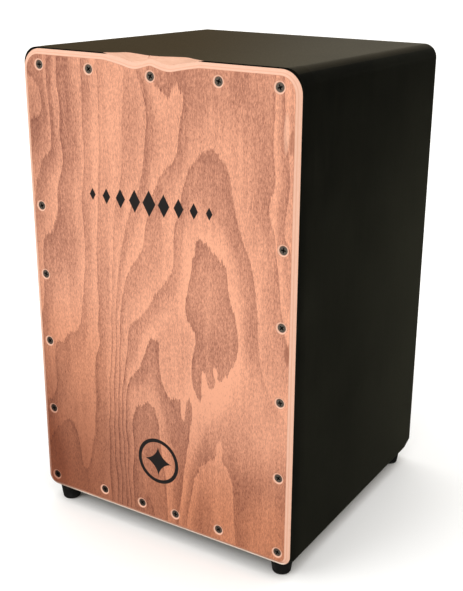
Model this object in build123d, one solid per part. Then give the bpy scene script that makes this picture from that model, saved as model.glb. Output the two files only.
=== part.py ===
from build123d import *
import os
from math import acos, atan2, hypot, pi, sqrt, tan

# Cajon with a tuned snare. Millimetres. X runs across the front, +Y runs back from the player's face,
# +Z is up. The origin is the centre of the footprint, on the floor under the feet.
# "Left" is -X, as seen by someone who looks at the front plate.

# Outside of the drum
BODY_WIDTH = 300.0
BODY_DEPTH = 289.0
BODY_HEIGHT = 464.0
TAPA_THICKNESS = 3.0
FOOT_HEIGHT = 18.0
PANEL = 9.0
BACK_THICKNESS = 6.0
BATTEN = 18.0
TOP_ROUND = 14.0
BOTTOM_ROUND = 3.5
REAR_ROUND = 1.0

# Planes that the pieces share
HALF_WIDTH = BODY_WIDTH / 2
REAR = (BODY_DEPTH + TAPA_THICKNESS) / 2
TAPA_FRONT = -REAR
BODY_FRONT = TAPA_FRONT + TAPA_THICKNESS
BASE = FOOT_HEIGHT
TOP = BASE + BODY_HEIGHT
MID_HEIGHT = (BASE + TOP) / 2
INNER_X = HALF_WIDTH - PANEL
FLOOR_INSIDE = BASE + PANEL
CEILING_INSIDE = TOP - PANEL
BATTEN_REAR = BODY_FRONT + BATTEN
BACK_FRONT = REAR - BACK_THICKNESS
REAR_FRAME_FRONT = BACK_FRONT - BATTEN

# Front plate (tapa)
TAPA_TOP_GAP = 1.2
TAPA_TOP_ROUND = 20.0
TAPA_BOTTOM_ROUND = 10.5
BEVEL_WIDTH = 5.0
BEVEL_DEPTH = 2.7

# The body's long edges are eased by hand at their ends, to these rounds, running out over these lengths
FRONT_TOP_EASE = (16.0, 20.0)
FRONT_BOTTOM_EASE = (TAPA_BOTTOM_ROUND, 9.0)
REAR_BOTTOM_EASE = (10.5, 14.0)

# Two hand scoops filed into the top front edge, and the rounding of the crest between them:
# (x, depth below the top) along the joint of tapa and body
SCOOP_LEFT = [(-60, -0.7), (-46, 1.6), (-33, 3.8), (-16.5, 6.4), (-7, 4.0), (1, 1.8), (9, -0.5)]
SCOOP_RIGHT = [(-9, -0.7), (-1, 1.9), (8, 4.4), (18, 6.2), (32, 4.1), (46, 1.6), (60, -0.7)]
SCOOP_CREST = [(-5, 3.25), (-2.5, 2.6), (0, 2.4), (2.5, 2.6), (5, 3.3)]
SCOOP_LEFT_WAY = (-1.3, 1.0, 0.42)
SCOOP_RIGHT_WAY = (0.6, 1.0, 0.45)
SCOOP_CREST_WAY = (-0.3, 1.0, 0.45)
SCOOP_TAPA_WAY = (0.0, BEVEL_DEPTH, BEVEL_WIDTH)
SCOOP_LIFT = 12.0
SCOOP_REACH = 64.0

# Tapa screws: one row at the top, one at the bottom, a column at each side and two bottom corners
TOP_ROW = [(x, TOP - 15.7) for x in (-129.5, -70, 70.8, 130.2)] + [(-0.5, TOP - 17.0)]
SIDE_HEIGHTS = (110.5, 187.0, 259.2, 329.8)
SIDE_COLUMN_X = 136.7
SIDE_COLUMNS = [(side * SIDE_COLUMN_X, z) for side in (-1, 1) for z in SIDE_HEIGHTS]
BOTTOM_CORNERS = [(side * 137.3, BASE + 13.3) for side in (-1, 1)]
BOTTOM_ROW = [(x, BASE + 15.4) for x in (-71.5, -22.5, 19, 70.8)]
TAPA_SCREW_PLACES = TOP_ROW + SIDE_COLUMNS + BOTTOM_CORNERS + BOTTOM_ROW
TAPA_SINK_RADIUS = 4.95
TAPA_DISH_RADIUS = 5.8
TAPA_DISH_DEPTH = 0.55
TAPA_HEAD_RADIUS = 4.1
TAPA_HEAD_DROP = 0.8
TAPA_SHANK_RADIUS = 2.25
TAPA_SCREW_LENGTH = 19.0
DRILL_ROOM = 0.05
SCREW_POINT = 2.5
POINT_TIP_RADIUS = 0.1
CROSS_TURN = 37
CROSS_SPAN = 1.2
CROSS_WIDTH = 0.32
CROSS_DEPTH = 0.6
CROSS_MOUTH = 0.62
CROSS_FLOOR = 0.2
PAN_CROSS_SPAN = 1.1
PAN_CROSS_WIDTH = 0.28
PAN_ROUND = 0.45
OVERCUT = 1.0

# Back panel, its sound hole and its screws
BACK_ROOM = 0.3
SOUND_HOLE_RADIUS = 57.5
SOUND_HOLE_HEIGHT = BASE + 0.6 * BODY_HEIGHT
BACK_SCREW_X = INNER_X - BATTEN / 2
BACK_ROW_LOW = FLOOR_INSIDE + BATTEN / 2
BACK_ROW_HIGH = CEILING_INSIDE - BATTEN / 2
BACK_ROWS = 5
BACK_SCREW_LENGTH = 19.6
BACK_HEAD_DROP = 0.15
BACK_SINK_RADIUS = 4.35
BACK_PILOT = 20.0

# Rubber feet with their washers and screws
FOOT_TOP_RADIUS = 11.5
FOOT_BOTTOM_RADIUS = 9.0
FOOT_EDGE_ROUND = 2.2
FOOT_PLACES = {
    "front_left": (-131.5, BODY_FRONT + 12.2),
    "front_right": (133.0, BODY_FRONT + 15.0),
    "rear_left": (-133.5, REAR - 19.1),
    "rear_right": (133.5, REAR - 19.1),
}
FOOT_RECESS_RADIUS = 5.2
FOOT_RECESS_DEPTH = 7.0
FOOT_SCREW_RADIUS = 2.0
FOOT_HEAD_RADIUS = 3.9
FOOT_HEAD_HEIGHT = 2.4
FOOT_SCREW_LENGTH = 19.5
WASHER_RADIUS = 5.0
WASHER_THICKNESS = 1.0

# Snare strings and the rod that presses them to the tapa
STRING_RADIUS = 0.5
STRING_TAPA_GAP = 0.3
SADDLE_RADIUS = 3.0
SADDLE_HEIGHT = 440.0
SADDLE_SOCKET = 8.0
SMALL_CHAMFER = 0.4
SADDLE_Y = BODY_FRONT + STRING_TAPA_GAP + 2 * STRING_RADIUS + SADDLE_RADIUS + DRILL_ROOM
STRING_CLAMP_BEND = 0.8
ANCHOR_Y = BODY_FRONT + 10.5
ANCHOR_SHANK_RADIUS = 1.5
ANCHOR_HEAD_RADIUS = 3.2
ANCHOR_HEAD_HEIGHT = 2.0
ANCHOR_LENGTH = 10.0
STRING_FAN_TOP = 20.0
STRING_FAN_BOTTOM = 12.0

# Snare tuners: a socket screw in the bottom board draws a carriage down between two cheeks
TUNER_X = 42.0
TUNER_Y = BATTEN_REAR + 12.5
TUNER_SCREW_RADIUS = 3.0
RUN_ROOM = 0.05
TUNER_HEAD_RADIUS = 5.0
TUNER_HEAD_HEIGHT = 6.0
TUNER_HEAD_BOTTOM = BASE + 0.4
TUNER_SCREW_TOP = 79.0
SOCKET_ACROSS_FLATS = 5.0
SOCKET_DEPTH = 3.2
BUSH_RADIUS = 7.0
BUSH_FLANGE_RADIUS = 9.5
BUSH_FLANGE = 1.5
BUSH_PROUD = 2.0
BRACKET_GAP = 26.0
BRACKET_STEEL = 2.0
BRACKET_DEPTH = 18.0
BRACKET_TOP = 76.0
BRACKET_FOOT = 13.0
BRACKET_BEND = 1.5
BRACKET_SCREW_LENGTH = 8.0
CARRIAGE_BOTTOM = 52.0
CARRIAGE_HEIGHT = 12.0
CARRIAGE_DEPTH = 16.0
CARRIAGE_SIDE_ROOM = 0.1
ARM_THICKNESS = 4.0
ARM_WIDTH = 32.0
ARM_TAPA_GAP = 1.0
ARM_CHEEK_GAP = 0.5
ARM_ROUND = 1.5
STRING_SLOT_WIDTH = 1.4
STRING_LOW_Y = BODY_FRONT + 3.0
BALL_RADIUS = 2.0
BALL_BORE = 0.8
BALL_LENGTH = 4.0


def block(x0, x1, y0, y1, z0, z1):
    """A box between two corners."""
    centre = ((x0 + x1) / 2, (y0 + y1) / 2, (z0 + z1) / 2)
    return Pos(*centre) * Box(x1 - x0, y1 - y0, z1 - z0)


def upright(radius, x, y, z0, z1):
    """A round bar along Z."""
    return Pos(x, y, (z0 + z1) / 2) * Cylinder(radius, z1 - z0)


def along_y(radius, x, z, y0, y1):
    """A round bar along Y."""
    return Pos(x, (y0 + y1) / 2, z) * Rot(90, 0, 0) * Cylinder(radius, y1 - y0)


def front_outline(width, height, top_round, bottom_round):
    """A rectangle in the XZ plane with one radius at its top corners and one at its bottom corners."""
    sheet = Rectangle(width, height)
    sheet = fillet(sheet.vertices().sort_by(Axis.Y)[-2:], top_round)
    return fillet(sheet.vertices().sort_by(Axis.Y)[:2], bottom_round)


def slab(outline, y0, y1):
    """An outline centred on the body's height, as thick as from y0 to y1."""
    return extrude(Plane.XZ.offset(-y1) * Pos(0, MID_HEIGHT) * outline, y1 - y0)


def scoop_cutter(points, way):
    """What a scoop takes away: all above its line along the joint, swept to and fro along way."""
    line = [(x, BODY_FRONT, TOP - depth) for x, depth in points]
    over = [(x, BODY_FRONT, TOP + SCOOP_LIFT) for x in (points[-1][0], points[0][0])]
    lid = Polyline(line[-1], *over, line[0])
    face = Face(Wire([Spline(*line).edge(), *lid.edges()]))
    scale = SCOOP_REACH / hypot(*way)
    stroke = Vector(*way) * scale
    return Solid.extrude(face.moved(Location(stroke * -0.5)), stroke)


def body_scoops():
    """Both scoops and their crest, as they run back into the top board."""
    left = scoop_cutter(SCOOP_LEFT, SCOOP_LEFT_WAY)
    right = scoop_cutter(SCOOP_RIGHT, SCOOP_RIGHT_WAY)
    crest = scoop_cutter(SCOOP_CREST, SCOOP_CREST_WAY)
    return [left, right, crest]


def tapa_scoops():
    """Both scoops and their crest with the slope of the tapa's bevel."""
    lines = (SCOOP_LEFT, SCOOP_RIGHT, SCOOP_CREST)
    return [scoop_cutter(points, SCOOP_TAPA_WAY) for points in lines]


def corner_sliver(side, up, corner_round, y):
    """The outline of what a round of that radius takes off one of the body's four corners, at depth y."""
    edge_x, edge_z = side * HALF_WIDTH, TOP if up > 0 else BASE
    inner_x, inner_z = edge_x - side * corner_round, edge_z - up * corner_round
    slack = corner_round * (1 - sqrt(0.5))
    middle = (edge_x - side * slack, y, edge_z - up * slack)
    arc = ThreePointArc((edge_x, y, inner_z), middle, (inner_x, y, edge_z))
    over_x, over_z = edge_x + side * OVERCUT, edge_z + up * OVERCUT
    beyond = [(inner_x, y, over_z), (over_x, y, over_z), (over_x, y, inner_z)]
    rest = Polyline((inner_x, y, edge_z), *beyond, (edge_x, y, inner_z))
    return Wire([arc.edge(), *rest.edges()])


def corner_reliefs():
    """What the easing at the ends of the body's long edges takes away."""
    cuts = []
    for up, end, inward, plain, (eased, run_out) in (
        (1, BODY_FRONT, 1, TOP_ROUND, FRONT_TOP_EASE),
        (-1, BODY_FRONT, 1, BOTTOM_ROUND, FRONT_BOTTOM_EASE),
        (-1, REAR, -1, BOTTOM_ROUND, REAR_BOTTOM_EASE),
    ):
        for side in (-1, 1):
            outer = corner_sliver(side, up, eased, end)
            inner = corner_sliver(side, up, plain, end + inward * run_out)
            cuts.append(Solid.make_loft([outer, inner], ruled=True))
    return cuts


def phillips_screw(head_radius, shank_radius, length, turn):
    """A countersunk wood screw on the Z axis, its flat head at z = 0 and its tip below."""
    cone_height = head_radius - shank_radius
    head = Pos(0, 0, -cone_height / 2) * Cone(shank_radius, head_radius, cone_height)
    tip = SCREW_POINT * shank_radius
    shank = upright(shank_radius, 0, 0, tip - length, -cone_height)
    point = Pos(0, 0, tip / 2 - length) * Cone(POINT_TIP_RADIUS, shank_radius, tip)
    bar = Box(CROSS_SPAN * head_radius, CROSS_WIDTH * head_radius, 2 * head_radius)
    depth = CROSS_DEPTH * head_radius
    funnel = Pos(0, 0, -depth / 2) * Cone(CROSS_FLOOR * head_radius, CROSS_MOUTH * head_radius, depth)
    recess = (bar + Rot(0, 0, 90) * bar) & funnel
    return Rot(0, 0, turn) * (head + shank + point - recess)


def pan_screw(head_radius, head_height, shank_radius, length):
    """A pan-head screw on the Z axis, its head from z = 0 up and its shank below, with a cross recess."""
    head = upright(head_radius, 0, 0, 0, head_height)
    head = fillet(head.edges().sort_by(Axis.Z)[-1], PAN_ROUND * head_height)
    shank = upright(shank_radius, 0, 0, -length, 0)
    bar = Box(PAN_CROSS_SPAN * head_radius, PAN_CROSS_WIDTH * head_radius, head_height)
    recess = Pos(0, 0, head_height) * (bar + Rot(0, 0, 90) * bar)
    return head + shank - recess


def shell():
    """The four mitred boards before they are cut apart: an open tube from front to rear."""
    outside = front_outline(BODY_WIDTH, BODY_HEIGHT, TOP_ROUND, BOTTOM_ROUND)
    tube = slab(outside, BODY_FRONT, REAR)
    tube = fillet(tube.faces().sort_by(Axis.Y)[-1].edges(), REAR_ROUND) - corner_reliefs()
    return tube - block(-INNER_X, INNER_X, 2 * TAPA_FRONT, 2 * REAR, FLOOR_INSIDE, CEILING_INSIDE)


def mitre_wedge(sign_x, sign_z):
    """The part of the tube that belongs to one board, bounded by the 45 degree mitres."""
    far = 2 * BODY_HEIGHT
    if sign_z:
        corner_z = TOP if sign_z > 0 else BASE
        start_z = corner_z - sign_z * HALF_WIDTH
        end_z = corner_z + sign_z * HALF_WIDTH
        points = [(0, start_z), (BODY_WIDTH, end_z), (-BODY_WIDTH, end_z)]
        return extrude(Plane.XZ.offset(-far / 2) * make_face(Polyline(*points, close=True)), far)
    edge = sign_x * HALF_WIDTH
    low, high = BASE + HALF_WIDTH, TOP - HALF_WIDTH
    points = [(0, low), (0, high), (edge, TOP), (2 * edge, TOP), (2 * edge, BASE), (edge, BASE)]
    return extrude(Plane.XZ.offset(-far / 2) * make_face(Polyline(*points, close=True)), far)


def tapa_drill(reach):
    """Pilot holes for every tapa screw, from the body's front plane back."""
    radius = TAPA_SHANK_RADIUS + DRILL_ROOM
    return [along_y(radius, x, z, BODY_FRONT - OVERCUT, BODY_FRONT + reach) for x, z in TAPA_SCREW_PLACES]


def back_screw_places():
    """Back panel screws: a column each side, and one in the middle of the top and bottom."""
    step = (BACK_ROW_HIGH - BACK_ROW_LOW) / (BACK_ROWS - 1)
    heights = [BACK_ROW_LOW + step * row for row in range(BACK_ROWS)]
    columns = [(side * BACK_SCREW_X, z) for side in (-1, 1) for z in heights]
    return columns + [(0, BACK_ROW_LOW), (0, BACK_ROW_HIGH)]


def back_drill():
    """Pilot holes for the back panel screws, through the panel and into the rear frame."""
    radius = TAPA_SHANK_RADIUS + DRILL_ROOM
    return [along_y(radius, x, z, REAR - BACK_PILOT, REAR + OVERCUT) for x, z in back_screw_places()]


def countersinks(places, face_y, into, sink_radius, shank_radius):
    """Cones cut at 45 degrees into a face that looks along -into in Y."""
    depth = sink_radius - shank_radius
    middle = (OVERCUT - depth) / 2
    cone = Pos(0, 0, middle) * Cone(shank_radius, sink_radius + OVERCUT, depth + OVERCUT)
    turn = Rot(90, 0, 0) if into > 0 else Rot(-90, 0, 0)
    return [Pos(x, face_y, z) * turn * cone for x, z in places]


def dishes(places):
    """The shallow dish that the drill frays round each countersink of the tapa."""
    slope = (TAPA_DISH_RADIUS - TAPA_SINK_RADIUS + TAPA_DISH_DEPTH) / TAPA_DISH_DEPTH
    bottom = TAPA_DISH_RADIUS - slope * TAPA_DISH_DEPTH
    cone = Cone(bottom, TAPA_DISH_RADIUS + slope * OVERCUT, TAPA_DISH_DEPTH + OVERCUT)
    cone = Rot(90, 0, 0) * Pos(0, 0, (OVERCUT - TAPA_DISH_DEPTH) / 2) * cone
    return [Pos(x, TAPA_FRONT, z) * cone for x, z in places]


def top_panel():
    board = shell() & mitre_wedge(0, 1)
    return board - body_scoops()


def bottom_panel():
    board = shell() & mitre_wedge(0, -1)
    inside = FLOOR_INSIDE + OVERCUT
    bush_holes = [upright(BUSH_RADIUS, side * TUNER_X, TUNER_Y, 0, inside) for side in (-1, 1)]
    foot_pilot = FOOT_SCREW_RADIUS + DRILL_ROOM
    foot_end = FOOT_RECESS_DEPTH - WASHER_THICKNESS + FOOT_SCREW_LENGTH + DRILL_ROOM
    foot_holes = [upright(foot_pilot, x, y, 0, foot_end) for x, y in FOOT_PLACES.values()]
    pilot = ANCHOR_SHANK_RADIUS + DRILL_ROOM
    bracket_end = FLOOR_INSIDE + BRACKET_STEEL - BRACKET_SCREW_LENGTH - DRILL_ROOM
    bracket_holes = [upright(pilot, x, TUNER_Y, bracket_end, inside) for x in bracket_screw_xs()]
    return board - bush_holes - foot_holes - bracket_holes


def side_panel(side):
    return shell() & mitre_wedge(side, 0)


def tapa():
    """The 3 mm front plate: bevelled all round, scooped at the top, countersunk for its screws."""
    outline = front_outline(BODY_WIDTH, BODY_HEIGHT - TAPA_TOP_GAP, TAPA_TOP_ROUND, TAPA_BOTTOM_ROUND)
    plate = Pos(0, 0, -TAPA_TOP_GAP / 2) * slab(outline, TAPA_FRONT, BODY_FRONT)
    face = plate.faces().sort_by(Axis.Y)[0]
    plate = chamfer(face.edges(), BEVEL_WIDTH, BEVEL_DEPTH, reference=face)
    plate = plate - tapa_scoops() - body_scoops()
    shank = TAPA_SHANK_RADIUS + DRILL_ROOM
    plate = plate - countersinks(TAPA_SCREW_PLACES, TAPA_FRONT, 1, TAPA_SINK_RADIUS, shank)
    plate = plate - dishes(TAPA_SCREW_PLACES)
    holes = [along_y(shank, x, z, TAPA_FRONT, BODY_FRONT + OVERCUT) for x, z in TAPA_SCREW_PLACES]
    return plate - holes


def back_panel():
    """The 6 mm back, let in flush, with the round sound hole."""
    reach = INNER_X - BACK_ROOM
    low, high = FLOOR_INSIDE + BACK_ROOM, CEILING_INSIDE - BACK_ROOM
    panel = block(-reach, reach, BACK_FRONT, REAR, low, high)
    panel = panel - along_y(SOUND_HOLE_RADIUS, 0, SOUND_HOLE_HEIGHT, BODY_FRONT, 2 * REAR)
    shank = TAPA_SHANK_RADIUS + DRILL_ROOM
    return panel - countersinks(back_screw_places(), REAR, -1, BACK_SINK_RADIUS, shank) - back_drill()


def front_battens():
    """The frame behind the tapa: rails across the top and bottom, stiles between them."""
    spans = (BODY_FRONT, BATTEN_REAR)
    low, high = FLOOR_INSIDE + BATTEN, CEILING_INSIDE - BATTEN
    pieces = {
        "front_batten_top": block(-INNER_X, INNER_X, *spans, high, CEILING_INSIDE),
        "front_batten_bottom": block(-INNER_X, INNER_X, *spans, FLOOR_INSIDE, low),
        "front_batten_left": block(-INNER_X, BATTEN - INNER_X, *spans, low, high),
        "front_batten_right": block(INNER_X - BATTEN, INNER_X, *spans, low, high),
    }
    cuts = tapa_drill(TAPA_SCREW_LENGTH - TAPA_THICKNESS + TAPA_HEAD_DROP)
    pilot = ANCHOR_SHANK_RADIUS + DRILL_ROOM
    cuts += [upright(pilot, x, ANCHOR_Y, high - OVERCUT, high + ANCHOR_LENGTH) for x in string_top_xs()]
    cuts.append(saddle_bar(SADDLE_RADIUS + DRILL_ROOM))
    return {name: piece - cuts for name, piece in pieces.items()}


def rear_battens():
    """The frame that the back panel is screwed to."""
    spans = (REAR_FRAME_FRONT, BACK_FRONT)
    low, high = FLOOR_INSIDE + BATTEN, CEILING_INSIDE - BATTEN
    pieces = {
        "rear_batten_top": block(-INNER_X, INNER_X, *spans, high, CEILING_INSIDE),
        "rear_batten_bottom": block(-INNER_X, INNER_X, *spans, FLOOR_INSIDE, low),
        "rear_batten_left": block(-INNER_X, BATTEN - INNER_X, *spans, low, high),
        "rear_batten_right": block(INNER_X - BATTEN, INNER_X, *spans, low, high),
    }
    return {name: piece - back_drill() for name, piece in pieces.items()}


def corner_battens():
    """Glue battens that run from the front frame to the rear frame in the four long corners."""
    sides = {"left": (-INNER_X, BATTEN - INNER_X), "right": (INNER_X - BATTEN, INNER_X)}
    levels = {
        "top": (CEILING_INSIDE - BATTEN, CEILING_INSIDE),
        "bottom": (FLOOR_INSIDE, FLOOR_INSIDE + BATTEN),
    }
    return {
        f"corner_batten_{level}_{side}": block(*x_span, BATTEN_REAR, REAR_FRAME_FRONT, *z_span)
        for level, z_span in levels.items()
        for side, x_span in sides.items()
    }


def panel_screws(places, head_y, tilt, length):
    """One countersunk screw for each place, its cross turned as a hand leaves it."""
    screws = []
    for i, (x, z) in enumerate(places):
        screw = phillips_screw(TAPA_HEAD_RADIUS, TAPA_SHANK_RADIUS, length, CROSS_TURN * i % 90)
        screws.append(Pos(x, head_y, z) * Rot(tilt, 0, 0) * screw)
    return screws


def tapa_screws():
    return panel_screws(TAPA_SCREW_PLACES, TAPA_FRONT + TAPA_HEAD_DROP, 90, TAPA_SCREW_LENGTH)


def back_panel_screws():
    return panel_screws(back_screw_places(), REAR - BACK_HEAD_DROP, -90, BACK_SCREW_LENGTH)


def foot(x, y):
    """A tapered rubber foot, recessed from below for its washer and screw."""
    cone = Pos(x, y, FOOT_HEIGHT / 2) * Cone(FOOT_BOTTOM_RADIUS, FOOT_TOP_RADIUS, FOOT_HEIGHT)
    cone = fillet(cone.edges().sort_by(Axis.Z)[0], FOOT_EDGE_ROUND)
    recess = upright(FOOT_RECESS_RADIUS, x, y, -OVERCUT, FOOT_RECESS_DEPTH)
    return cone - recess - upright(FOOT_SCREW_RADIUS + DRILL_ROOM, x, y, 0, FOOT_HEIGHT + OVERCUT)


def foot_washers():
    low = FOOT_RECESS_DEPTH - WASHER_THICKNESS
    hole = FOOT_SCREW_RADIUS + DRILL_ROOM
    washers = []
    for x, y in FOOT_PLACES.values():
        disc = upright(WASHER_RADIUS, x, y, low, FOOT_RECESS_DEPTH)
        washers.append(disc - upright(hole, x, y, 0, FOOT_HEIGHT))
    return washers


def foot_screws():
    seat = FOOT_RECESS_DEPTH - WASHER_THICKNESS
    screw = pan_screw(FOOT_HEAD_RADIUS, FOOT_HEAD_HEIGHT, FOOT_SCREW_RADIUS, FOOT_SCREW_LENGTH)
    return [Pos(x, y, seat) * Rot(180, 0, 0) * screw for x, y in FOOT_PLACES.values()]


def string_top_xs():
    """Where the four strings cross the saddle, from left to right."""
    return [side * TUNER_X + fan * STRING_FAN_TOP for side in (-1, 1) for fan in (-1, 1)]


def string_low_xs():
    """Where the four strings leave the carriages, from left to right."""
    return [side * TUNER_X + fan * STRING_FAN_BOTTOM for side in (-1, 1) for fan in (-1, 1)]


def saddle_bar(radius):
    """A bar across the drum on the saddle's axis, as long as the saddle with its sockets."""
    length = 2 * (INNER_X - BATTEN + SADDLE_SOCKET)
    return Pos(0, SADDLE_Y, SADDLE_HEIGHT) * Rot(0, 90, 0) * Cylinder(radius, length)


def string_saddle():
    return chamfer(saddle_bar(SADDLE_RADIUS).edges(), SMALL_CHAMFER)


def string_anchor_screws():
    ceiling = CEILING_INSIDE - BATTEN
    seat = ceiling - 2 * (STRING_RADIUS + DRILL_ROOM)
    screw = pan_screw(ANCHOR_HEAD_RADIUS, ANCHOR_HEAD_HEIGHT, ANCHOR_SHANK_RADIUS, ANCHOR_LENGTH)
    return [Pos(x, ANCHOR_Y, seat) * Rot(180, 0, 0) * screw for x in string_top_xs()]


def snare_string(low_x, top_x):
    """A string from its ball end up to the saddle, round its front, and back under its anchor's head."""
    bend = SADDLE_RADIUS + STRING_RADIUS + DRILL_ROOM
    clamp_y = ANCHOR_Y - ANCHOR_HEAD_RADIUS - STRING_CLAMP_BEND
    clamp_z = CEILING_INSIDE - BATTEN - STRING_RADIUS - DRILL_ROOM
    rise, back = clamp_z - SADDLE_HEIGHT, clamp_y - SADDLE_Y
    leave = acos(bend / hypot(rise, back)) - atan2(back, rise)
    knee = (top_x, SADDLE_Y - bend, SADDLE_HEIGHT + bend * tan((pi / 2 - leave) / 2))
    low = (low_x, STRING_LOW_Y, CARRIAGE_BOTTOM + CARRIAGE_HEIGHT - ARM_THICKNESS + DRILL_ROOM)
    end = (top_x, ANCHOR_Y - ANCHOR_SHANK_RADIUS - DRILL_ROOM, clamp_z)
    path = FilletPolyline(low, knee, (top_x, clamp_y, clamp_z), end, radius=[bend, STRING_CLAMP_BEND])
    start = Plane(origin=low, z_dir=Vector(*knee) - Vector(*low))
    return sweep(start * Circle(STRING_RADIUS), path=path)


def bracket_screw_xs():
    """Across the bottom board: the two bracket screws beside each tuner."""
    reach = BRACKET_GAP / 2 + BRACKET_FOOT / 2 + BRACKET_STEEL / 2
    return [side * TUNER_X + end * reach for side in (-1, 1) for end in (-1, 1)]


def tuner_bracket(x):
    """A hat-shaped steel strap: two feet on the board, two cheeks and a bridge for the screw's end."""
    half = BRACKET_GAP / 2
    spans = (TUNER_Y - BRACKET_DEPTH / 2, TUNER_Y + BRACKET_DEPTH / 2)
    outside = block(x - half - BRACKET_STEEL, x + half + BRACKET_STEEL, *spans, FLOOR_INSIDE, BRACKET_TOP)
    outside = fillet(outside.edges().filter_by(Axis.Y).sort_by(Axis.Z)[-2:], BRACKET_STEEL + BRACKET_BEND)
    inside = block(x - half, x + half, *spans, BASE, BRACKET_TOP - BRACKET_STEEL)
    inside = fillet(inside.edges().filter_by(Axis.Y).sort_by(Axis.Z)[-2:], BRACKET_BEND)
    strap = outside - inside
    for end in (-1, 1):
        near, far = x + end * half, x + end * (half + BRACKET_FOOT)
        strap += block(min(near, far), max(near, far), *spans, FLOOR_INSIDE, FLOOR_INSIDE + BRACKET_STEEL)
    pilot = ANCHOR_SHANK_RADIUS + DRILL_ROOM
    holes = [upright(pilot, at, TUNER_Y, BASE, FLOOR_INSIDE + BRACKET_BEND * 2) for at in bracket_screw_xs()]
    return strap - upright(TUNER_SCREW_RADIUS + RUN_ROOM, x, TUNER_Y, FLOOR_INSIDE, TOP) - holes


def tuner_bracket_screws():
    screw = pan_screw(ANCHOR_HEAD_RADIUS, ANCHOR_HEAD_HEIGHT, ANCHOR_SHANK_RADIUS, BRACKET_SCREW_LENGTH)
    return [Pos(x, TUNER_Y, FLOOR_INSIDE + BRACKET_STEEL) * screw for x in bracket_screw_xs()]


def tuner_bush(x):
    """A flanged brass bush in the bottom board that takes the pull of the tuning screw's head."""
    shoulder = TUNER_HEAD_BOTTOM + TUNER_HEAD_HEIGHT + RUN_ROOM
    bush = upright(BUSH_RADIUS, x, TUNER_Y, BASE - BUSH_FLANGE, FLOOR_INSIDE + BUSH_PROUD)
    bush += upright(BUSH_FLANGE_RADIUS, x, TUNER_Y, BASE - BUSH_FLANGE, BASE)
    bush -= upright(TUNER_HEAD_RADIUS + 2 * RUN_ROOM, x, TUNER_Y, 0, shoulder)
    return bush - upright(TUNER_SCREW_RADIUS + RUN_ROOM, x, TUNER_Y, 0, TOP)


def tuner_screw(x):
    """The hex-socket tuning screw, its head down in the bush."""
    shoulder = TUNER_HEAD_BOTTOM + TUNER_HEAD_HEIGHT
    head = upright(TUNER_HEAD_RADIUS, x, TUNER_Y, TUNER_HEAD_BOTTOM, shoulder)
    head = chamfer(head.edges().sort_by(Axis.Z)[0], SMALL_CHAMFER)
    shank = upright(TUNER_SCREW_RADIUS, x, TUNER_Y, shoulder, TUNER_SCREW_TOP)
    shank = chamfer(shank.edges().sort_by(Axis.Z)[-1], SMALL_CHAMFER)
    hexagon = RegularPolygon(SOCKET_ACROSS_FLATS / 2, 6, major_radius=False)
    socket = extrude(Pos(x, TUNER_Y, TUNER_HEAD_BOTTOM) * hexagon, SOCKET_DEPTH)
    return head + shank - socket


def tuner_carriage(x):
    """A threaded block that slides between the cheeks, with an arm forward to the strings."""
    half = BRACKET_GAP / 2 - CARRIAGE_SIDE_ROOM
    high = CARRIAGE_BOTTOM + CARRIAGE_HEIGHT
    front, rear = TUNER_Y - CARRIAGE_DEPTH / 2, TUNER_Y + CARRIAGE_DEPTH / 2
    nose = BODY_FRONT + ARM_TAPA_GAP
    clear = TUNER_Y - BRACKET_DEPTH / 2 - ARM_CHEEK_GAP
    body = block(x - half, x + half, front, rear, CARRIAGE_BOTTOM, high)
    body += block(x - half, x + half, clear - OVERCUT, front + OVERCUT, high - ARM_THICKNESS, high)
    arm = block(x - ARM_WIDTH / 2, x + ARM_WIDTH / 2, nose, clear, high - ARM_THICKNESS, high)
    body += fillet(arm.edges().filter_by(Axis.Z), ARM_ROUND)
    slot = STRING_SLOT_WIDTH / 2
    for end in (-1, 1):
        at = x + end * STRING_FAN_BOTTOM
        body -= block(at - slot, at + slot, TAPA_FRONT, STRING_LOW_Y, CARRIAGE_BOTTOM, BRACKET_TOP)
        body -= upright(slot, at, STRING_LOW_Y, CARRIAGE_BOTTOM, BRACKET_TOP)
    return body - upright(TUNER_SCREW_RADIUS + RUN_ROOM, x, TUNER_Y, 0, TOP)


def string_ball_ends(x):
    """The barrel-shaped ends of a tuner's two strings, hooked under the arm."""
    centre_z = CARRIAGE_BOTTOM + CARRIAGE_HEIGHT - ARM_THICKNESS - BALL_RADIUS
    ring = Cylinder(BALL_RADIUS, BALL_LENGTH) - Cylinder(BALL_BORE, BALL_LENGTH)
    ring = chamfer(ring.edges().filter_by(GeomType.CIRCLE).sort_by(SortBy.RADIUS)[-2:], SMALL_CHAMFER)
    places = [x + end * STRING_FAN_BOTTOM for end in (-1, 1)]
    return [Pos(at, STRING_LOW_Y, centre_z) * Rot(0, 90, 0) * ring for at in places]


def save(name, shape):
    """One STEP file for a node; a list of solids becomes one group."""
    if isinstance(shape, list):
        shape = Compound(children=[solid for piece in shape for solid in piece.solids()])
    shape.label = name
    export_step(shape, f"parts/{name}.step")


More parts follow.
